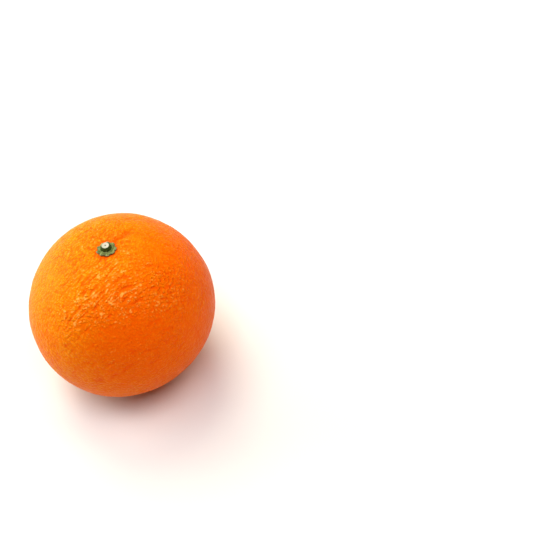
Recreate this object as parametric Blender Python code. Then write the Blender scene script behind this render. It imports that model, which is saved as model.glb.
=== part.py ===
"""A whole mandarin, picked with its calyx and a short clipped stalk, standing on its blossom end.

Metres, +Z up. The origin is on the surface the fruit rests on, under the middle of its box.
Three pieces: the fruit (peel and flesh, one solid), the calyx (a ring of small sepals) and the
stem (the clipped stub of the stalk, which passes through the ring).
"""

import math

import bmesh
import bpy
import numpy as np

for thing in list(bpy.data.objects):
    bpy.data.objects.remove(thing, do_unlink=True)

# ---- fruit ------------------------------------------------------------------------------------
HALF_WIDTH = 0.0340  # mean half width at the widest girth
CORE_HEIGHT = 0.0306  # the girth's height above the surface
TOP_REACH = 0.0314  # from the girth up to the stem end, before the dimple
BOTTOM_REACH = 0.0317  # from the girth down to the blossom end, before it flattens
FULLNESS = 2.06  # 2 is a true ellipse; a little more fills out the shoulders
OVAL, OVAL_AT = 0.0130, 60.0  # two-lobed girth: share of the half width, and degrees from +X
TRI, TRI_AT = 0.0080, -14.0  # three-lobed girth
QUAD, QUAD_AT = 0.0053, -3.5  # four-lobed girth
DIMPLE_DEEP, DIMPLE_WIDE = 0.0015, 0.0095  # the hollow that holds the calyx
FOLDS, FOLD_DEEP = 9, 0.00016  # soft folds that run out from the calyx
FOLD_AT, FOLD_WIDE = 0.0062, 0.0028  # their distance from the stalk, and how far they fade
FLAT_SOFT = 0.00025  # height over which the flat spot turns into the round underside
SEGMENTS, RINGS = 56, 42

# ---- calyx ------------------------------------------------------------------------------------
SEPALS, SEPAL_TURN = 9, -4.0  # how many, and where the first one points, in degrees from +X
CALYX_TIP, CALYX_VALLEY = 0.0036, 0.0031  # radii at the points and between them
CALYX_THICK = 0.0005
CALYX_LIFT = 0.0003  # clear of the peel
CALYX_CURL = 0.00025  # how much its points rise

# ---- stem -------------------------------------------------------------------------------------
STEM_FOOT, STEM_FACE = 0.00190, 0.00140  # radii at the foot and at the cut face
STEM_TALL = 0.0019
STEM_BEVEL = 0.00018
STEM_GAP = 0.0003  # clear of the calyx ring and of the peel
STEM_SIDES = 24


def girth_swell(spread, turn):
    """The share by which the girth departs from a circle, fading towards both ends."""
    return (
        OVAL * spread**2 * np.cos(2 * (turn - math.radians(OVAL_AT)))
        + TRI * spread**3 * np.cos(3 * (turn - math.radians(TRI_AT)))
        + QUAD * spread**4 * np.cos(4 * (turn - math.radians(QUAD_AT)))
    )


def peel_point(direction):
    """Where the peel lies in each unit direction from the middle of the girth."""
    x, y, z = direction.T
    spread, turn = np.hypot(x, y), np.arctan2(y, x)
    reach = np.where(z > 0, TOP_REACH, BOTTOM_REACH)
    radius = ((spread / HALF_WIDTH) ** FULLNESS + (np.abs(z) / reach) ** FULLNESS) ** (
        -1 / FULLNESS
    )
    point = direction * (radius * (1 + girth_swell(spread, turn)))[:, None]
    out = np.hypot(point[:, 0], point[:, 1])
    dimple = DIMPLE_DEEP * np.exp(-((out / DIMPLE_WIDE) ** 2))
    fold = FOLD_DEEP * np.exp(-(((out - FOLD_AT) / FOLD_WIDE) ** 2))
    fold = fold * (0.5 - 0.5 * np.cos(FOLDS * turn + 0.9 * np.sin(2 * turn + 0.4)))
    point[:, 2] += CORE_HEIGHT - np.where(z > 0, dimple + fold, 0.0)
    low = point[:, 2]
    point[:, 2] = np.where(
        low > FLAT_SOFT,
        low,
        np.where(low < -FLAT_SOFT, 0.0, (low + FLAT_SOFT) ** 2 / (4 * FLAT_SOFT)),
    )
    return point


def even_rings(direction):
    """The same directions with their rings drawn together towards both ends."""
    x, y, z = direction.T
    share = np.arccos(np.clip(z, -1, 1)) / math.pi
    polar = math.pi * (share - 0.42 * np.sin(2 * math.pi * share) / (2 * math.pi))
    turn = np.arctan2(y, x)
    return np.stack(
        [np.sin(polar) * np.cos(turn), np.sin(polar) * np.sin(turn), np.cos(polar)], -1
    )


def peel_height(x, y):
    """The peel's height at a point near the stalk, by walking the direction onto it."""
    direction = np.array([[x, y, TOP_REACH]])
    for _ in range(12):
        direction /= np.linalg.norm(direction)
        point = peel_point(direction)[0]
        direction = np.array([[x, y, point[2] - CORE_HEIGHT]])
    return float(point[2])


def material(name, colour, roughness):
    made = bpy.data.materials.new(name)
    made.use_nodes = True
    shader = made.node_tree.nodes["Principled BSDF"]
    shader.inputs["Base Color"].default_value = (*colour, 1.0)
    shader.inputs["Roughness"].default_value = roughness
    shader.inputs["Metallic"].default_value = 0.0
    made.diffuse_color = (*colour, 1.0)
    return made


def add_object(name, mesh_data, made, place):
    mesh = bpy.data.meshes.new(name)
    mesh_data.to_mesh(mesh)
    mesh_data.free()
    mesh.shade_smooth()
    mesh.set_sharp_from_angle(angle=math.radians(40))
    mesh.materials.append(made)
    thing = bpy.data.objects.new(name, mesh)
    thing.location = place
    bpy.context.scene.collection.objects.link(thing)
    return thing


def ring_of(shape, points):
    return [shape.verts.new(point) for point in points]


def skin_between(shape, lower, upper):
    count = len(lower)
    for i in range(count):
        j = (i + 1) % count
        shape.faces.new((lower[i], lower[j], upper[j], upper[i]))


# ---- the fruit --------------------------------------------------------------------------------
peel = bmesh.new()
bmesh.ops.create_uvsphere(peel, u_segments=SEGMENTS, v_segments=RINGS, radius=1.0)
unit = np.array([vert.co[:] for vert in peel.verts], float)
unit /= np.linalg.norm(unit, axis=1)[:, None]
skin = peel_point(even_rings(unit))
# The lobes shift the box a little to one side, so every piece moves back by this much.
middle = (skin.min(axis=0) + skin.max(axis=0)) / 2
shift = (-float(middle[0]), -float(middle[1]), 0.0)
for vert, point in zip(peel.verts, skin):
    vert.co = point
bmesh.ops.recalc_face_normals(peel, faces=peel.faces)
fruit = add_object(
    "fruit", peel, material("peel", (0.95, 0.24, 0.004), 0.42), shift
)

# ---- the calyx: a closed ring with a scalloped edge, lying just clear of the peel -------------
calyx_shape = bmesh.new()
around = SEPALS * 6
hole = STEM_FOOT + STEM_GAP
bottom_rings, top_rings = [], []
for share in (0.0, 0.5, 1.0):
    low, high = [], []
    for i in range(around):
        turn = 2 * math.pi * i / around
        lobe = SEPALS * (turn - math.radians(SEPAL_TURN)) / 2
        point_share = abs(math.cos(lobe)) ** 1.6
        edge = CALYX_VALLEY + (CALYX_TIP - CALYX_VALLEY) * point_share
        out = hole + (edge - hole) * share
        x, y = out * math.cos(turn), out * math.sin(turn)
        lift = CALYX_LIFT + CALYX_CURL * share**2 * (0.35 + 0.65 * point_share)
        floor = peel_height(x, y) + lift
        low.append((x, y, floor))
        high.append((x, y, floor + CALYX_THICK * (1.0 - 0.45 * share**2)))
    bottom_rings.append(ring_of(calyx_shape, low))
    top_rings.append(ring_of(calyx_shape, high))
skin_between(calyx_shape, bottom_rings[1], bottom_rings[0])
skin_between(calyx_shape, bottom_rings[2], bottom_rings[1])
skin_between(calyx_shape, top_rings[0], top_rings[1])
skin_between(calyx_shape, top_rings[1], top_rings[2])
skin_between(calyx_shape, bottom_rings[0], top_rings[0])
skin_between(calyx_shape, top_rings[2], bottom_rings[2])
bmesh.ops.recalc_face_normals(calyx_shape, faces=calyx_shape.faces)
calyx = add_object(
    "calyx", calyx_shape, material("sepal", (0.20, 0.31, 0.11), 0.6), shift
)

# ---- the stem: a tapered stub with a softly flared foot ---------------------------------------
foot_height = (
    max(
        peel_height(
            STEM_FOOT * math.cos(math.pi * i / 8), STEM_FOOT * math.sin(math.pi * i / 8)
        )
        for i in range(16)
    )
    + STEM_GAP
)
stub = bmesh.new()
rings = []
for share, radius in (
    (0.0, STEM_FOOT),
    (0.28, STEM_FOOT * 0.97),
    (0.50, (STEM_FOOT + STEM_FACE) / 2 * 0.985),
    (0.75, STEM_FACE * 1.02),
    (1.0, STEM_FACE),
):
    height = foot_height + STEM_TALL * share
    rings.append(
        ring_of(
            stub,
            [
                (
                    radius * math.cos(2 * math.pi * i / STEM_SIDES),
                    radius * math.sin(2 * math.pi * i / STEM_SIDES),
                    height,
                )
                for i in range(STEM_SIDES)
            ],
        )
    )
for lower, upper in zip(rings, rings[1:]):
    skin_between(stub, lower, upper)
stub.faces.new(rings[-1])
stub.faces.new(list(reversed(rings[0])))
bmesh.ops.recalc_face_normals(stub, faces=stub.faces)
rim = [edge for edge in stub.edges if all(vert in rings[-1] for vert in edge.verts)]
bmesh.ops.bevel(
    stub, geom=rim, offset=STEM_BEVEL, segments=2, profile=0.5, affect="EDGES"
)
stem = add_object("stem", stub, material("stalk", (0.10, 0.13, 0.035), 0.65), shift)
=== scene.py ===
"""The looks of the mandarin: fine meshes and materials for its three pieces, a pale floor, soft light and the camera."""

import math

import bmesh
import bpy
import numpy as np
from mathutils import Matrix, Vector


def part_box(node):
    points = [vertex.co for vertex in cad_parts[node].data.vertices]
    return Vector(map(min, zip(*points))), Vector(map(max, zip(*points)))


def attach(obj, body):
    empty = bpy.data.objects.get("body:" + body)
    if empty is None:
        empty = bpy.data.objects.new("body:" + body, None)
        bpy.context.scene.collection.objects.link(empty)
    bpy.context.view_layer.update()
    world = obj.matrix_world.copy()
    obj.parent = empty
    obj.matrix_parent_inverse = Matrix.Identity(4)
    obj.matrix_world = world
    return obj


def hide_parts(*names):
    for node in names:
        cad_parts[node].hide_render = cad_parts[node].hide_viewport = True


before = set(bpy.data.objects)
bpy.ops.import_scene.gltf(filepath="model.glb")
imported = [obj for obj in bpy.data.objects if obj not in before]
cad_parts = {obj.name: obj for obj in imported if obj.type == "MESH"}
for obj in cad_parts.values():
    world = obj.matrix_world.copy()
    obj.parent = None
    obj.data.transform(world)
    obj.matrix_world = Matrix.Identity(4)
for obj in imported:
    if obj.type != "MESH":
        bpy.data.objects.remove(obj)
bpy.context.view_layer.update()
fruit_lo, fruit_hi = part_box("fruit")
calyx_lo, calyx_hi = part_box("calyx")
stem_lo, stem_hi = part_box("stem")

MM = 0.001
DETAIL = 128  # quads along each side of the cube that wraps the fruit

# ------------------------------------------------------------------------------------------------
# The fruit's smooth form. The same rule as in the CAD source, in metres.
# ------------------------------------------------------------------------------------------------
HALF_WIDTH = 0.0340
CORE_HEIGHT = 0.0306
TOP_REACH = 0.0314
BOTTOM_REACH = 0.0317
FULLNESS = 2.06
OVAL, OVAL_AT = 0.0130, 60.0
TRI, TRI_AT = 0.0080, -14.0
QUAD, QUAD_AT = 0.0053, -3.5
DIMPLE_DEEP, DIMPLE_WIDE = 0.0015, 0.0095
FLAT_SOFT = 0.00025


def form(direction):
    x, y, z = direction.T
    spread, turn = np.hypot(x, y), np.arctan2(y, x)
    swell = (
        OVAL * spread**2 * np.cos(2 * (turn - math.radians(OVAL_AT)))
        + TRI * spread**3 * np.cos(3 * (turn - math.radians(TRI_AT)))
        + QUAD * spread**4 * np.cos(4 * (turn - math.radians(QUAD_AT)))
    )
    reach = np.where(z > 0, TOP_REACH, BOTTOM_REACH)
    radius = ((spread / HALF_WIDTH) ** FULLNESS + (np.abs(z) / reach) ** FULLNESS) ** (
        -1 / FULLNESS
    )
    point = direction * (radius * (1 + swell))[:, None]
    out = np.hypot(point[:, 0], point[:, 1])
    dimple = DIMPLE_DEEP * np.exp(-((out / DIMPLE_WIDE) ** 2))
    point[:, 2] += CORE_HEIGHT - np.where(z > 0, dimple, 0.0)
    return point


def settle(point):
    """Flattens the underside where the fruit rests."""
    low = point[:, 2]
    point = point.copy()
    point[:, 2] = np.where(
        low > FLAT_SOFT,
        low,
        np.where(low < -FLAT_SOFT, 0.0, (low + FLAT_SOFT) ** 2 / (4 * FLAT_SOFT)),
    )
    return point


def smooth(low, high, value):
    share = np.clip((value - low) / (high - low), 0, 1)
    return share * share * (3 - 2 * share)


# ------------------------------------------------------------------------------------------------
# Noise on arrays of points
# ------------------------------------------------------------------------------------------------
_table = np.random.default_rng(7).permutation(256)
_table = np.concatenate([_table, _table])
_gradients = np.random.default_rng(11).normal(size=(256, 3))
_gradients /= np.linalg.norm(_gradients, axis=1)[:, None]
_offsets = np.random.default_rng(23).random((256, 3))


def _hash(cell, seed):
    cell = cell & 255
    return _table[_table[_table[(cell[..., 0] + seed) & 255] + cell[..., 1]] + cell[..., 2]]


def wave(point, size, seed=0):
    """Gradient noise of about -1 to 1, with lumps of the given size in metres."""
    q = point / size
    cell = np.floor(q).astype(np.int64)
    part = q - cell
    ease = part**3 * (part * (part * 6 - 15) + 10)
    total = np.zeros(len(point))
    for corner in range(8):
        step = np.array([corner & 1, corner >> 1 & 1, corner >> 2 & 1])
        slope = _gradients[_hash(cell + step, seed)]
        value = ((part - step) * slope).sum(axis=1)
        weight = np.prod(np.where(step == 1, ease, 1 - ease), axis=1)
        total += weight * value
    return total * 1.6


def cells(point, size, seed=0, random=1.0):
    """Distance to the nearest and to the second nearest of scattered points, in cell sizes."""
    q = point / size
    cell = np.floor(q).astype(np.int64)
    near = np.full(len(point), 9.0)
    next_near = np.full(len(point), 9.0)
    for i in (-1, 0, 1):
        for j in (-1, 0, 1):
            for k in (-1, 0, 1):
                there = cell + np.array([i, j, k])
                spot = there + 0.5 + random * (_offsets[_hash(there, seed)] - 0.5)
                gap = np.sqrt(((q - spot) ** 2).sum(axis=1))
                next_near = np.minimum(next_near, np.maximum(near, gap))
                near = np.minimum(near, gap)
    return near, next_near


# ------------------------------------------------------------------------------------------------
# Camera: the view of the photograph, from 48 degrees above, turned 9 degrees about its axis
# ------------------------------------------------------------------------------------------------
PITCH, ROLL = math.radians(48.5), math.radians(9.0)
back = Vector((0, -math.cos(PITCH), math.sin(PITCH)))
level_up, level_right = Vector((0, math.sin(PITCH), math.cos(PITCH))), Vector((1, 0, 0))
cam_up = math.cos(ROLL) * level_up + math.sin(ROLL) * level_right
cam_right = math.cos(ROLL) * level_right - math.sin(ROLL) * level_up

base_points = form(
    np.array(
        [
            (math.sin(a) * math.cos(t), math.sin(a) * math.sin(t), math.cos(a))
            for a in np.linspace(0.02, math.pi - 0.02, 121)
            for t in np.linspace(0, 2 * math.pi, 180, endpoint=False)
        ]
    )
)
form_middle = (base_points.min(axis=0) + base_points.max(axis=0)) / 2
SHIFT = np.array(
    [
        (fruit_lo[0] + fruit_hi[0]) / 2 - form_middle[0],
        (fruit_lo[1] + fruit_hi[1]) / 2 - form_middle[1],
        0.0,
    ]
)
shift = Vector(SHIFT)

cam_data = bpy.data.cameras.new("camera")
cam_data.sensor_width = 36.0
cam_data.lens = 100.0
cam_data.clip_start = 0.01
camera = bpy.data.objects.new("camera", cam_data)
bpy.context.scene.collection.objects.link(camera)
cam_place = (
    Vector((0, 0, 0.031))
    + shift
    + 0.05790 * cam_right
    + 0.00862 * cam_up
    + 0.56930 * back
)
turned = Matrix((cam_right, cam_up, back)).transposed().to_4x4()
camera.matrix_world = Matrix.Translation(cam_place) @ turned
bpy.context.scene.camera = camera

# ------------------------------------------------------------------------------------------------
# The peel
# ------------------------------------------------------------------------------------------------


def cube_sphere(count):
    """Unit directions and quads of a cube blown up into a ball, evenly spaced."""
    steps = np.tan(np.linspace(-math.pi / 4, math.pi / 4, count + 1))
    a, b = np.meshgrid(steps, steps, indexing="ij")
    one = np.ones_like(a)
    sides = [
        (one, a, b),
        (-one, b, a),
        (b, one, a),
        (a, -one, b),
        (a, b, one),
        (b, a, -one),
    ]
    points, quads = [], []
    grid = np.arange((count + 1) ** 2).reshape(count + 1, count + 1)
    for side, (x, y, z) in enumerate(sides):
        points.append(np.stack([x, y, z], -1).reshape(-1, 3))
        corner = grid + side * (count + 1) ** 2
        quads.append(
            np.stack(
                [corner[:-1, :-1], corner[1:, :-1], corner[1:, 1:], corner[:-1, 1:]], -1
            ).reshape(-1, 4)
        )
    points, quads = np.concatenate(points), np.concatenate(quads)
    points /= np.linalg.norm(points, axis=1)[:, None]
    _, first, index = np.unique(
        np.round(points, 7), axis=0, return_index=True, return_inverse=True
    )
    return points[first], index.reshape(-1)[quads]


def point_normals(point, quads):
    cross = np.cross(
        point[quads[:, 2]] - point[quads[:, 0]], point[quads[:, 3]] - point[quads[:, 1]]
    )
    total = np.zeros_like(point)
    for k in range(4):
        np.add.at(total, quads[:, k], cross)
    return total / np.linalg.norm(total, axis=1)[:, None]


def make_object(name, points, faces, materials, groups=None):
    mesh = bpy.data.meshes.new(name)
    mesh.from_pydata(
        [tuple(p) for p in points], [], [tuple(int(i) for i in f) for f in faces]
    )
    mesh.validate()
    for made in materials:
        mesh.materials.append(made)
    if groups is not None:
        mesh.polygons.foreach_set("material_index", np.asarray(groups, np.int32))
    mesh.shade_smooth()
    mesh.update()
    thing = bpy.data.objects.new(name, mesh)
    bpy.context.scene.collection.objects.link(thing)
    return thing


def give(mesh, name, values):
    attribute = mesh.attributes.new(name, "FLOAT", "POINT")
    attribute.data.foreach_set("value", np.asarray(values, np.float32))


def facing(x, y, z, point, wide):
    """1 at the given spot of the peel, fading out over the given distance."""
    gap = np.linalg.norm(point - np.array([x, y, z]), axis=1)
    return np.exp(-((gap / wide) ** 2))


direction, quads = cube_sphere(DETAIL)
# A closer mesh on the upper side, where the finest folds are.
direction = direction + 0.34 * np.array([0.0, -0.36, 0.933])
direction /= np.linalg.norm(direction, axis=1)[:, None]
smooth_peel = form(direction)
normal = point_normals(smooth_peel, quads)
if (normal * direction).sum() < 0:
    quads = quads[:, ::-1]
    normal = -normal

p = smooth_peel
radial = np.hypot(p[:, 0], p[:, 1])
turn = np.arctan2(p[:, 1], p[:, 0])
upper = smooth(0.045, 0.052, p[:, 2])

# Broad, shallow swellings of the rind over the segments.
swell = 0.09 * wave(p, 11 * MM, 3) + 0.07 * wave(p, 5.2 * MM, 5)

# Wavy wrinkles. They fan out: upright under the stalk, slanting on the left, level on the right.
side_way = np.array([0.99, -0.14, 0.0])
up_way = np.array([0.10, 0.72, 0.69])
slope = np.radians(
    38
    + 30 * smooth(0.0, 0.012, p[:, 2] - 0.0545) * smooth(0.016, 0.0, p[:, 0])
    - 34 * smooth(-0.002, 0.013, p[:, 0])
    + 15 * wave(p, 9 * MM, 35)
)
run = np.cos(slope)[:, None] * side_way + np.sin(slope)[:, None] * up_way
run -= (run * normal).sum(axis=1)[:, None] * normal
run /= np.linalg.norm(run, axis=1)[:, None] + 1e-9


def drawn_out(size, seed, half):
    """Noise drawn out along the wrinkles' run, of unit spread."""
    total = np.zeros(len(p))
    for k in np.linspace(-1, 1, 7):
        total += wave(p + bend + k * half * run, size, seed) * (1 - 0.5 * abs(k))
    return total / total.std()


bend = np.stack([wave(p, 2.6 * MM, s) for s in (31, 32, 33)], -1) * 0.34 * MM
ridge_a = 1 - np.abs(drawn_out(1.5 * MM, 41, 2.9 * MM)) ** 0.85
ridge_b = 1 - np.abs(drawn_out(1.05 * MM, 43, 1.5 * MM)) ** 0.85
wrinkles = np.clip(0.62 * ridge_a + 0.38 * ridge_b, -1.0, 1)
band = np.clip(
    1 - (1 - facing(-0.0100, -0.0200, 0.0545, p, 9.0 * MM))
    * (1 - 0.95 * facing(0.0025, -0.0170, 0.0570, p, 9.5 * MM))
    * (1 - 0.75 * facing(0.0160, -0.0175, 0.0535, p, 9.0 * MM))
    * (1 - 0.60 * facing(0.0020, -0.0090, 0.0600, p, 5.5 * MM)),
    0,
    1,
)
band *= 0.80 + 0.45 * wave(p, 5.0 * MM, 37)
patch = smooth(-0.25, 0.75, wave(p, 15 * MM, 51) + 0.3 * wave(p, 7 * MM, 52))
mask = np.clip(0.20 + 1.0 * band + 0.40 * patch * (1 - band), 0, 1)
mask = mask * (0.55 + 0.45 * smooth(0.002, 0.02, p[:, 2]))
# Rougher peel round the stalk, on the side towards the wrinkles' left.
rough = 1 - (1 - facing(-0.0010, 0.0085, 0.0600, p, 8.0 * MM)) * (
    1 - 0.9 * facing(-0.0120, 0.0010, 0.0590, p, 9.0 * MM)
)
rough = 1 - (1 - rough) * (1 - 0.55 * facing(0.0220, -0.0130, 0.0510, p, 9.0 * MM)) * (
    1 - 0.65 * facing(-0.0270, -0.0190, 0.0260, p, 12.0 * MM)
)

# Pebbled grain of the oil glands.
near, next_near = cells(p + bend * 0.25, 1.35 * MM, 61)
pebble = smooth(0.02, 0.55, next_near - near)
near_b, next_b = cells(p, 2.3 * MM, 67)
pebble_b = smooth(0.0, 0.6, next_b - near_b)
grain = 0.6 * (pebble - 0.5) + 0.35 * (pebble_b - 0.5) + 0.25 * wave(p, 1.1 * MM, 71)

# Fine puckers close round the calyx.
pucker = np.zeros(len(p))
rng = np.random.default_rng(5)
ray = turn + 0.10 * wave(p, 3.0 * MM, 81)


def radiating(at, inner, outer, half_width):
    """A soft line that runs out from the stalk: 1 along it, fading at both ends."""
    gap = np.angle(np.exp(1j * (ray - at))) * np.clip(radial, 1 * MM, None) / MM
    run_out = smooth(inner - 0.6, inner + 0.9, radial / MM) * (
        1 - smooth(0.55 * outer, outer, radial / MM)
    )
    return run_out * np.exp(-((gap / half_width) ** 2)) * upper


for k in range(21):
    at = 2 * math.pi * (k + 0.7 * (rng.random() - 0.5)) / 21
    deep, outer, slim = 0.5 + 0.5 * rng.random(), 5.2 + 2.4 * rng.random(), 0.30 + 0.1 * rng.random()
    pucker -= deep * radiating(at, 3.2, outer, slim)

# Larger folds (below zero) and the ridges between them (above zero) farther out.
FOLDS = (
    # direction at the calyx and farther out in degrees, start and end in mm, height and half width in mm
    (40, 45, 3.6, 15.0, -0.34, 0.90),
    (24, 29, 4.2, 11.5, 0.15, 0.80),
    (58, 66, 3.8, 10.5, 0.14, 0.75),
    (84, 87, 3.6, 9.0, 0.12, 0.55),
    (108, 112, 3.8, 9.5, -0.13, 0.55),
    (132, 128, 3.6, 10.5, 0.12, 0.70),
    (168, 163, 3.9, 10.0, -0.14, 0.55),
    (186, 184, 4.2, 9.5, 0.10, 0.60),
    (214, 204, 4.0, 11.0, -0.13, 0.60),
    (236, 225, 3.8, 12.0, 0.15, 0.65),
    (261, 262, 3.4, 9.0, -0.26, 0.48),
    (279, 278, 4.4, 9.0, 0.10, 0.50),
    (298, 295, 4.4, 11.5, 0.14, 0.60),
    (318, 321, 3.6, 9.5, -0.16, 0.55),
    (341, 338, 4.2, 10.5, 0.20, 0.50),
    (352, 352, 4.0, 9.0, -0.16, 0.40),
    (3, 4, 4.2, 10.0, 0.18, 0.50),
)
fold = np.zeros(len(p))
for near_at, far_at, inner, outer, height, half_width in FOLDS:
    share = np.clip((radial / MM - inner) / (outer - inner), 0, 1)
    at = np.radians(near_at + (far_at - near_at) * share)
    fold += height * radiating(at, inner, outer, half_width * (0.75 + 0.6 * share))
collar = np.exp(-(((radial - 5.2 * MM) / (1.5 * MM)) ** 2)) * upper

# The blossom end: a small sunken scar with fine pleats about it, inside the flat spot.
under = (p[:, 2] < 0.004) * 1.0
scar_gap = np.hypot(p[:, 0] - 0.4 * MM, p[:, 1] + 0.3 * MM)
scar = np.exp(-((scar_gap / (1.5 * MM)) ** 4)) * under
pleats = (
    np.cos(11 * np.arctan2(p[:, 1] + 0.3 * MM, p[:, 0] - 0.4 * MM) + 2 * wave(p, 3 * MM, 91))
    * np.exp(-(((scar_gap - 3.0 * MM) / (1.6 * MM)) ** 2))
    * under
)

relief = (
    swell
    + 0.185 * mask * wrinkles
    + (0.075 + 0.055 * mask + 0.085 * rough) * grain
    + 0.11 * pucker
    + fold
    + 0.08 * collar
)  # millimetres
skin = settle(p + normal * (relief * MM)[:, None])
hollow = under * (0.42 * scar + 0.10 * (pleats * 0.5 + 0.5) + 0.12 * np.exp(-((scar_gap / (4 * MM)) ** 2)))
skin[:, 2] += np.where(under > 0, hollow * MM, 0)
skin += SHIFT

# ------------------------------------------------------------------------------------------------
# Materials
# ------------------------------------------------------------------------------------------------


class Nodes:
    """A material's node tree, built link by link."""

    def __init__(self, name):
        self.material = bpy.data.materials.new(name)
        self.material.use_nodes = True
        self.tree = self.material.node_tree
        self.shader = self.tree.nodes["Principled BSDF"]
        self.place = self.add("ShaderNodeTexCoord").outputs["Object"]

    def add(self, kind, **settings):
        node = self.tree.nodes.new(kind)
        for key, value in settings.items():
            setattr(node, key, value)
        return node

    def put(self, socket, value):
        if isinstance(value, bpy.types.NodeSocket):
            self.tree.links.new(value, socket)
        elif isinstance(value, (tuple, list)) and len(value) == 3 and socket.type == "RGBA":
            socket.default_value = (*value, 1.0)
        else:
            socket.default_value = value

    def noise(self, scale, detail=2.0, rough=0.5, vector=None, distortion=0.0):
        node = self.add("ShaderNodeTexNoise")
        self.put(node.inputs["Vector"], vector or self.place)
        self.put(node.inputs["Scale"], scale)
        self.put(node.inputs["Detail"], detail)
        self.put(node.inputs["Roughness"], rough)
        self.put(node.inputs["Distortion"], distortion)
        return node.outputs["Fac"]

    def voronoi(self, scale, feature="F1", random=1.0, vector=None, smoothness=0.5):
        node = self.add("ShaderNodeTexVoronoi", feature=feature)
        self.put(node.inputs["Vector"], vector or self.place)
        self.put(node.inputs["Scale"], scale)
        self.put(node.inputs["Randomness"], random)
        if feature == "SMOOTH_F1":
            self.put(node.inputs["Smoothness"], smoothness)
        return node.outputs["Distance"]

    def value(self, name):
        return self.add("ShaderNodeAttribute", attribute_name=name).outputs["Fac"]

    def math(self, operation, a, b=0.0, c=None, clamp=False):
        node = self.add("ShaderNodeMath", operation=operation, use_clamp=clamp)
        self.put(node.inputs[0], a)
        self.put(node.inputs[1], b)
        if c is not None:
            self.put(node.inputs[2], c)
        return node.outputs[0]

    def span(self, value, low, high, to_low=0.0, to_high=1.0, soft=True):
        node = self.add(
            "ShaderNodeMapRange", interpolation_type="SMOOTHSTEP" if soft else "LINEAR"
        )
        for key, number in zip(
            ("Value", "From Min", "From Max", "To Min", "To Max"),
            (value, low, high, to_low, to_high),
        ):
            self.put(node.inputs[key], number)
        return node.outputs["Result"]

    def mix(self, share, a, b, blend="MIX"):
        node = self.add("ShaderNodeMix", data_type="RGBA", blend_type=blend)
        self.put(node.inputs["Factor"], share)
        colours = [s for s in node.inputs if s.type == "RGBA"]
        self.put(colours[0], a)
        self.put(colours[1], b)
        return [s for s in node.outputs if s.type == "RGBA"][0]

    def bump(self, height, distance, strength=1.0, normal=None):
        node = self.add("ShaderNodeBump")
        self.put(node.inputs["Height"], height)
        self.put(node.inputs["Distance"], distance)
        self.put(node.inputs["Strength"], strength)
        if normal is not None:
            self.put(node.inputs["Normal"], normal)
        return node.outputs["Normal"]

    def set(self, name, value):
        self.put(self.shader.inputs[name], value)


peel_look = Nodes("peel_look")
n = peel_look
broad = n.noise(34, 3.0)
mottle = n.noise(230, 4.0, 0.6)
fine = n.noise(900, 3.0, 0.6)
gland = n.voronoi(1080, "F1")
dome = n.span(n.math("MULTIPLY", gland, gland), 0.0, 0.32, 1.0, 0.0, soft=False)
seam = n.span(gland, 0.40, 0.62)
coarse = n.value("coarse")
painted_valley_shade = n.value("painted_valley_shade")
painted_crest_highlight = n.value("painted_crest_highlight")
# Painted light: yellower towards the back-left, the side the main lights shine from, and deeper orange on the other.
painted_lit_side = n.add("ShaderNodeVectorMath", operation="DOT_PRODUCT")
n.put(painted_lit_side.inputs[0], n.place)
painted_lit_side.inputs[1].default_value = (-0.74, 0.44, 0.12)
painted_lit_side = n.math("ADD", painted_lit_side.outputs["Value"], n.math("MULTIPLY", n.math("SUBTRACT", broad, 0.5), 0.018))
colour = n.mix(n.span(painted_lit_side, -0.034, 0.030), (0.800, 0.128, 0.0006), (0.830, 0.285, 0.0016))
# painted shade: a redder, darker patch below the wrinkled band
patch = n.add("ShaderNodeVectorMath", operation="DISTANCE")
n.put(patch.inputs[0], n.place)
patch.inputs[1].default_value = (0.004, -0.029, 0.043)
colour = n.mix(n.span(patch.outputs["Value"], 0.026, 0.004, 0.0, 0.75), colour, (0.780, 0.098, 0.0006))
colour = n.mix(
    n.math("MULTIPLY", n.span(mottle, 0.35, 0.7), 0.45), colour, (0.774, 0.112, 0.0005)
)
colour = n.mix(n.math("MULTIPLY", seam, 0.40), colour, (0.740, 0.080, 0.0004))
# Painted highlight: pale glints on the gland tops where the peel is coarse.
painted_glint = n.math("MULTIPLY", n.span(gland, 0.30, 0.10), n.span(n.noise(560, 2.0), 0.40, 0.64))
painted_glint = n.math("MULTIPLY", painted_glint, n.span(coarse, 0.45, 0.95, 0.0, 0.62))
colour = n.mix(painted_glint, colour, (0.860, 0.38, 0.055))
# Where the peel is smooth, the glands show as small darker dots instead.
dot = n.math("MULTIPLY", n.span(gland, 0.34, 0.16), n.span(n.noise(610, 2.0), 0.36, 0.60))
dot = n.math("MULTIPLY", dot, n.span(coarse, 0.85, 0.50, 0.0, 0.70))
colour = n.mix(dot, colour, (0.722, 0.070, 0.0004))
colour = n.mix(
    n.math("MULTIPLY", n.span(fine, 0.5, 0.75), 0.25), colour, (0.860, 0.26, 0.004)
)
# Painted shade: deeper red in the valleys of the wrinkles and folds, and in the ring next to the calyx.
colour = n.mix(n.math("MULTIPLY", painted_valley_shade, 0.70), colour, (0.757, 0.064, 0.0004))
# Painted highlight: paler on the crests of the wrinkles and on the ridges between folds.
colour = n.mix(n.math("MULTIPLY", painted_crest_highlight, 0.86), colour, (0.860, 0.400, 0.075))
colour = n.mix(n.value("scar"), colour, (0.16, 0.065, 0.018))
n.set("Base Color", colour)
n.set("Roughness", n.span(n.noise(420, 3.0), 0.3, 0.7, 0.30, 0.44))
n.set("IOR", 1.40)
n.set("Specular IOR Level", 0.055)
n.shader.inputs["Specular Tint"].default_value = (1.0, 0.62, 0.10, 1.0)
n.set("Subsurface Weight", 0.10)
n.shader.inputs["Subsurface Radius"].default_value = (1.0, 0.32, 0.08)
n.set("Subsurface Scale", 0.0010)
surface = n.bump(n.noise(780, 3.0, 0.55), 0.00042, coarse)
surface = n.bump(dome, 0.00026, coarse, surface)
surface = n.bump(n.noise(2100, 2.0), 0.00012, 0.9, surface)
n.set("Normal", surface)

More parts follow.
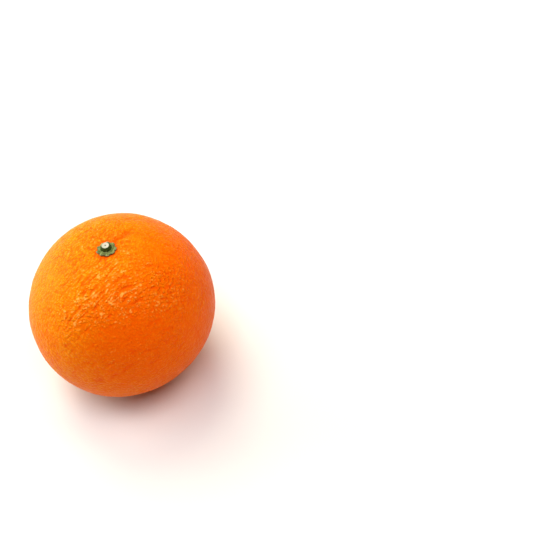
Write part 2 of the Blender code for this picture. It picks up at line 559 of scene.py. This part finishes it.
peel = make_object("mandarin_peel", skin, quads, [peel_look.material])
level = 0.235 * mask * wrinkles + (0.12 + 0.17 * rough) * grain + 0.11 * pucker
# Painted shade in the ring next to the calyx, and in the valleys of the wrinkles and folds.
painted_calyx_shade = np.exp(-((np.clip(radial / MM - 3.4, 0, None) / 0.9) ** 2)) * upper
give(peel.data, "painted_valley_shade", np.clip(smooth(0.02, -0.16, level + 0.6 * np.minimum(fold, 0)) + 0.9 * painted_calyx_shade, 0, 1))
# Painted highlight mask on the crests of the wrinkles and fold ridges, kept off the shaded ring at the calyx.
give(peel.data, "painted_crest_highlight", np.clip(smooth(0.085, 0.185, level + 0.5 * np.maximum(fold, 0)), 0, 1) * (1 - painted_calyx_shade))
give(peel.data, "scar", np.clip(scar * 1.2, 0, 1))
give(peel.data, "coarse", np.clip(0.40 + 0.75 * mask + 0.45 * rough, 0, 1))
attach(peel, "root")
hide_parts("fruit")

# ------------------------------------------------------------------------------------------------
# The calyx: nine small sepals round the stalk, with thin, slightly raised points
# ------------------------------------------------------------------------------------------------


def peel_height(x, y):
    """The smooth peel's height over points near the stalk."""
    z = np.full(np.shape(x), TOP_REACH)
    for _ in range(12):
        line = np.stack([x, y, z], -1)
        line /= np.linalg.norm(line, axis=1)[:, None]
        z = form(line)[:, 2] - CORE_HEIGHT
    return z + CORE_HEIGHT


SEPALS = (
    # direction in degrees from +X, length to the point and half width in mm, rise of the point in mm
    (350.5, 3.62, 20, 0.18),
    (39.4, 3.50, 19, 0.10),
    (84.0, 3.36, 18, 0.06),
    (120.0, 3.18, 17, 0.08),
    (157.1, 3.46, 19, 0.14),
    (197.3, 3.84, 18, 0.30),
    (230.5, 3.66, 17, 0.14),
    (273.0, 3.60, 20, 0.16),
    (314.0, 3.62, 20, 0.20),
)
VALLEY = 3.10


def calyx_edge(turn):
    """The calyx's outline and how much it rises, over the angle."""
    edge = np.full(len(turn), VALLEY)
    rise = np.full(len(turn), 0.04)
    axis = np.zeros(len(turn))
    for at, length, half, lift in SEPALS:
        gap = np.angle(np.exp(1j * (turn - math.radians(at)))) / math.radians(half)
        lobe = np.clip(1 - np.abs(gap), 0, 1)
        lobe = lobe**0.95 * (1.5 - 0.5 * lobe)
        edge = np.maximum(edge, VALLEY + (length - VALLEY) * lobe)
        rise += lift * np.clip(1 - np.abs(gap), 0, 1) ** 1.3
        axis = np.maximum(axis, np.exp(-((gap / 0.28) ** 2)))
    return edge * MM, rise * MM, axis


around = 288
turns = np.linspace(0, 2 * math.pi, around, endpoint=False)
edge, rise, axis = calyx_edge(turns)
edge = edge + 0.05 * MM * wave(
    np.stack([np.cos(turns), np.sin(turns), turns * 0], -1) * 3 * MM, 0.9 * MM, 101
)
inner = 1.15 * MM
loops, marks = [], []
top_shares = np.linspace(0, 1, 26)
for share in top_shares:
    out = inner + (edge - inner) * share
    x, y = out * np.cos(turns), out * np.sin(turns)
    spot = np.stack([x, y, 0 * x], -1)
    ground = peel_height(x, y)
    disc = np.clip((out - 1.9 * MM) / (1.8 * MM), 0, 1)
    thick = 0.62 * (1 - 0.55 * share**2)
    bead = 0.22 * np.exp(-(((out - 2.30 * MM) / (0.26 * MM)) ** 2))
    groove = -0.27 * (1 - axis) * smooth(0.25, 0.8, share) * (1 - 0.45 * share)
    vein = 0.09 * axis * smooth(0.3, 0.7, share) * (1 - smooth(0.8, 1.0, share))
    rough = 0.11 * wave(spot, 0.60 * MM, 103) + 0.05 * wave(spot, 0.28 * MM, 105)
    height = ground + (0.22 + thick + bead + groove + vein + rough) * MM + rise * share**2
    loops.append(np.stack([x, y, height], -1))
    marks.append(np.full(around, share))
rim_top = loops[-1]
for out_by, down in ((0.05, 0.06), (0.065, 0.15), (0.03, 0.24)):
    x = (edge + out_by * MM) * np.cos(turns)
    y = (edge + out_by * MM) * np.sin(turns)
    loops.append(np.stack([x, y, rim_top[:, 2] - down * MM], -1))
    marks.append(np.full(around, 1.0))
for share in (0.86, 0.6, 0.3, 0.0):
    out = inner + (edge - inner) * share
    x, y = out * np.cos(turns), out * np.sin(turns)
    lift = 0.06 * MM + rise * share**2 * 0.9 + 0.18 * MM * share
    loops.append(np.stack([x, y, peel_height(x, y) + lift], -1))
    marks.append(np.full(around, 0.5))
count = len(loops)
calyx_points = np.concatenate(loops) + SHIFT
index = np.arange(count * around).reshape(count, around)
calyx_faces = []
for a in range(count):
    b = (a + 1) % count
    following = np.roll(index, -1, axis=1)
    calyx_faces.append(np.stack([index[a], index[b], following[b], following[a]], -1))
calyx_faces = np.concatenate(calyx_faces)

n = Nodes("calyx_look")
tip = n.value("tip")
axis_mark = n.value("axis")
green = n.mix(n.span(n.noise(800, 4.0, 0.6), 0.35, 0.65), (0.080, 0.118, 0.026), (0.145, 0.192, 0.048))
green = n.mix(n.math("MULTIPLY", n.span(n.noise(2400, 3.0), 0.45, 0.7), 0.5), green, (0.23, 0.265, 0.085))
green = n.mix(n.math("MULTIPLY", n.span(tip, 0.84, 1.0), n.span(n.noise(650, 2.0), 0.36, 0.6)), green, (0.30, 0.31, 0.17))
pale_patch = n.math("MULTIPLY", n.span(n.noise(620, 2.0), 0.48, 0.66), n.span(tip, 0.35, 0.75))
green = n.mix(n.math("MULTIPLY", pale_patch, 0.65), green, (0.27, 0.345, 0.125))
brown_patch = n.math("MULTIPLY", n.span(n.noise(480, 2.0), 0.50, 0.64), n.span(tip, 0.85, 0.45))
green = n.mix(n.math("MULTIPLY", brown_patch, 0.6), green, (0.165, 0.150, 0.065))
green = n.mix(n.span(tip, 0.42, 0.18, 0.0, 0.8), green, (0.040, 0.060, 0.016))
# Dark brown in the notches between the sepals: painted shade, and partly dried tissue.
painted_notch_shade = n.math("MULTIPLY", n.span(tip, 0.80, 0.97), n.span(axis_mark, 0.10, 0.0))
green = n.mix(n.math("MULTIPLY", painted_notch_shade, 0.75), green, (0.060, 0.035, 0.008))
n.set("Base Color", green)
n.set("Roughness", n.span(n.noise(900, 2.0), 0.3, 0.7, 0.5, 0.72))
n.set("Specular IOR Level", 0.2)
n.set("Normal", n.bump(n.noise(3200, 4.0, 0.65), 0.00006, 0.9))
calyx = make_object("calyx_sepals", calyx_points, calyx_faces, [n.material])
give(calyx.data, "tip", np.concatenate(marks))
give(calyx.data, "axis", np.tile(axis, count))
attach(calyx, "root")
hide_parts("calyx")

# ------------------------------------------------------------------------------------------------
# The stalk: a short clipped stub, dark and knobbly, with a pale cut face
# ------------------------------------------------------------------------------------------------
foot_z = float(peel_height(np.array([0.0001]), np.array([0.0]))[0])
top_z = float(stem_hi[2])
around = 144
turns = np.linspace(0, 2 * math.pi, around, endpoint=False)
profile = [
    # height above the foot as a share, radius in mm
    (0.00, 1.70),
    (0.18, 1.98),
    (0.34, 2.02),
    (0.44, 1.93),
    (0.52, 1.84),
    (0.62, 1.77),
    (0.72, 1.68),
    (0.82, 1.58),
    (0.90, 1.47),
    (0.955, 1.42),
    (0.985, 1.38),
    (1.0, 1.32),
]
tall = top_z - foot_z
shares = np.array([s for s, _ in profile])
radii = np.array([r for _, r in profile])
fine_shares = np.concatenate([np.linspace(0, 0.9, 22), np.linspace(0.92, 1.0, 7)])
loops, groups = [], []
lean = np.array([-0.10, 0.06]) * MM
for share in fine_shares:
    radius = np.interp(share, shares, radii) * MM
    level = foot_z + tall * share
    x, y = radius * np.cos(turns), radius * np.sin(turns)
    spot = np.stack([x, y, np.full(around, level)], -1)
    ribs = 0.045 * np.cos(9 * turns + 0.7 * np.sin(3 * turns)) * smooth(0.2, 0.45, share) * (1 - smooth(0.7, 0.97, share))
    knobs = 0.14 * wave(spot, 0.62 * MM, 111) + 0.06 * wave(spot, 0.3 * MM, 113)
    knobs = knobs * (1 - 0.72 * smooth(0.8, 0.97, share))
    grow = 1 + (ribs + knobs) * MM / radius
    tilt = 0.05 * MM * np.cos(turns - math.radians(250)) * share**2
    loops.append(
        np.stack([x * grow + lean[0] * share, y * grow + lean[1] * share, level - tilt], -1)
    )
side_loops = len(loops)
for share, dip in ((0.93, -0.01), (0.86, 0.02), (0.72, 0.045), (0.5, 0.055), (0.32, 0.05), (0.22, 0.07), (0.14, 0.12), (0.06, 0.13)):
    radius = share * 1.32 * MM
    x, y = radius * np.cos(turns), radius * np.sin(turns)
    spot = np.stack([x, y, np.zeros(around)], -1)
    rough = 0.018 * wave(spot, 0.25 * MM, 117)
    tilt = 0.05 * MM * np.cos(turns - math.radians(250)) * share
    loops.append(
        np.stack([x + lean[0], y + lean[1], top_z - tilt - (dip + rough) * MM], -1)
    )
count = len(loops)
points = [np.concatenate(loops)]
points.append(np.array([[0, 0, foot_z], [lean[0], lean[1], top_z - 0.13 * MM]]))
stem_points = np.concatenate(points) + SHIFT
index = np.arange(count * around).reshape(count, around)
following = np.roll(index, -1, axis=1)
faces, groups = [], []
for a in range(count - 1):
    for i in range(around):
        faces.append((index[a, i], following[a, i], following[a + 1, i], index[a + 1, i]))
        groups.append(0 if a < side_loops - 2 else 1)
foot_point, face_point = count * around, count * around + 1
for i in range(around):
    faces.append((following[0, i], index[0, i], foot_point))
    groups.append(0)
    faces.append((index[-1, i], following[-1, i], face_point))
    groups.append(1)

side = Nodes("stalk_look")
n = side
bark = n.mix(n.span(n.noise(1100, 4.0, 0.65), 0.35, 0.68), (0.012, 0.024, 0.001), (0.040, 0.074, 0.006))
bark = n.mix(n.math("MULTIPLY", n.span(n.noise(2600, 2.0), 0.55, 0.72), 0.6), bark, (0.095, 0.115, 0.026))
n.set("Base Color", bark)
n.set("Roughness", n.span(n.noise(800, 2.0), 0.3, 0.7, 0.45, 0.7))
n.set("Specular IOR Level", 0.15)
n.set("Normal", n.bump(n.noise(3000, 4.0, 0.6), 0.00008, 0.9))
cut = Nodes("cut_face_look")
n = cut
from_axis = n.add("ShaderNodeVectorMath", operation="DISTANCE")
flat_place = n.add("ShaderNodeVectorMath", operation="MULTIPLY")
n.put(flat_place.inputs[0], n.place)
flat_place.inputs[1].default_value = (1.0, 1.0, 0.0)
n.put(from_axis.inputs[0], flat_place.outputs[0])
from_axis.inputs[1].default_value = (SHIFT[0] + lean[0], SHIFT[1] + lean[1], 0.0)
out = n.math("ADD", from_axis.outputs["Value"], n.math("MULTIPLY", n.math("SUBTRACT", n.noise(1500, 3.0), 0.5), 0.0004))
pale = n.mix(n.span(n.noise(1300, 4.0, 0.6), 0.3, 0.7), (0.40, 0.42, 0.32), (0.53, 0.49, 0.42))
pale = n.mix(n.span(out, 0.00105, 0.00142, 0.0, 0.7), pale, (0.15, 0.19, 0.08))
pale = n.mix(n.span(out, 0.00042, 0.00020, 0.0, 0.88), pale, (0.09, 0.11, 0.08))
n.set("Base Color", pale)
n.set("Roughness", 0.7)
n.set("Normal", n.bump(n.noise(3500, 3.0, 0.6), 0.00004, 0.8))
stem = make_object("stalk_stub", stem_points, faces, [side.material, cut.material], groups)
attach(stem, "root")
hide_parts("stem")

# ------------------------------------------------------------------------------------------------
# Floor, light and picture
# ------------------------------------------------------------------------------------------------
floor_mesh = bpy.data.meshes.new("floor")
floor_shape = bmesh.new()
bmesh.ops.create_grid(floor_shape, x_segments=8, y_segments=8, size=4.0)
floor_shape.to_mesh(floor_mesh)
floor_shape.free()
floor = bpy.data.objects.new("floor", floor_mesh)
floor.location = (0, 0, -0.00002)
bpy.context.scene.collection.objects.link(floor)
n = Nodes("floor_look")
n.set("Base Color", (0.72, 0.72, 0.72))
n.set("Roughness", 0.9)
n.set("IOR", 1.2)
floor.data.materials.append(n.material)


def soft_light(name, azimuth, height, spread, strength, colour=(1.0, 1.0, 1.0)):
    """Light from a wide, far softbox: its direction, angular size in degrees, and strength."""
    data = bpy.data.lights.new(name, "SUN")
    data.angle = math.radians(spread)
    data.energy = strength
    data.color = colour
    light = bpy.data.objects.new(name, data)
    a, h = math.radians(azimuth), math.radians(height)
    way = Vector((math.cos(h) * math.cos(a), math.cos(h) * math.sin(a), math.sin(h)))
    light.location = Vector((0, 0, 0.03)) + way
    light.rotation_euler = way.to_track_quat("Z", "Y").to_euler()
    bpy.context.scene.collection.objects.link(light)
    return light


soft_light("left_low", 147, 12, 44, 3.25, (1.0, 0.96, 0.86))
soft_light("behind_low", 108, 32, 34, 0.7, (1.0, 0.90, 0.72))
soft_light("behind", 103, 52, 38, 1.8, (1.0, 1.0, 0.80))
soft_light("right", 0, 52, 34, 1.17, (1.0, 0.71, 0.58))
soft_light("left_high", 180, 70, 34, 1.03)
soft_light("front_high", 270, 70, 34, 1.48, (1.0, 0.96, 1.0))
soft_light("front_low", 275, 12, 34, 0.30, (1.0, 0.66, 0.50))

# The room: white to the eye, but all its light comes from the softboxes.
world = bpy.data.worlds.new("world")
world.use_nodes = True
tree = world.node_tree
room = tree.nodes["Background"]
room.inputs["Color"].default_value = (1, 1, 1, 1)
room.inputs["Strength"].default_value = 0.0
seen = tree.nodes.new("ShaderNodeBackground")
seen.inputs["Color"].default_value = (1, 1, 1, 1)
seen.inputs["Strength"].default_value = 1.0
ray_kind = tree.nodes.new("ShaderNodeLightPath")
blend = tree.nodes.new("ShaderNodeMixShader")
tree.links.new(ray_kind.outputs["Is Camera Ray"], blend.inputs[0])
tree.links.new(room.outputs[0], blend.inputs[1])
tree.links.new(seen.outputs[0], blend.inputs[2])
tree.links.new(blend.outputs[0], tree.nodes["World Output"].inputs[0])
scene = bpy.context.scene
scene.world = world
scene.view_settings.view_transform = "Standard"
scene.view_settings.look = "None"
scene.view_settings.exposure = 0.0
scene.view_settings.gamma = 1.0
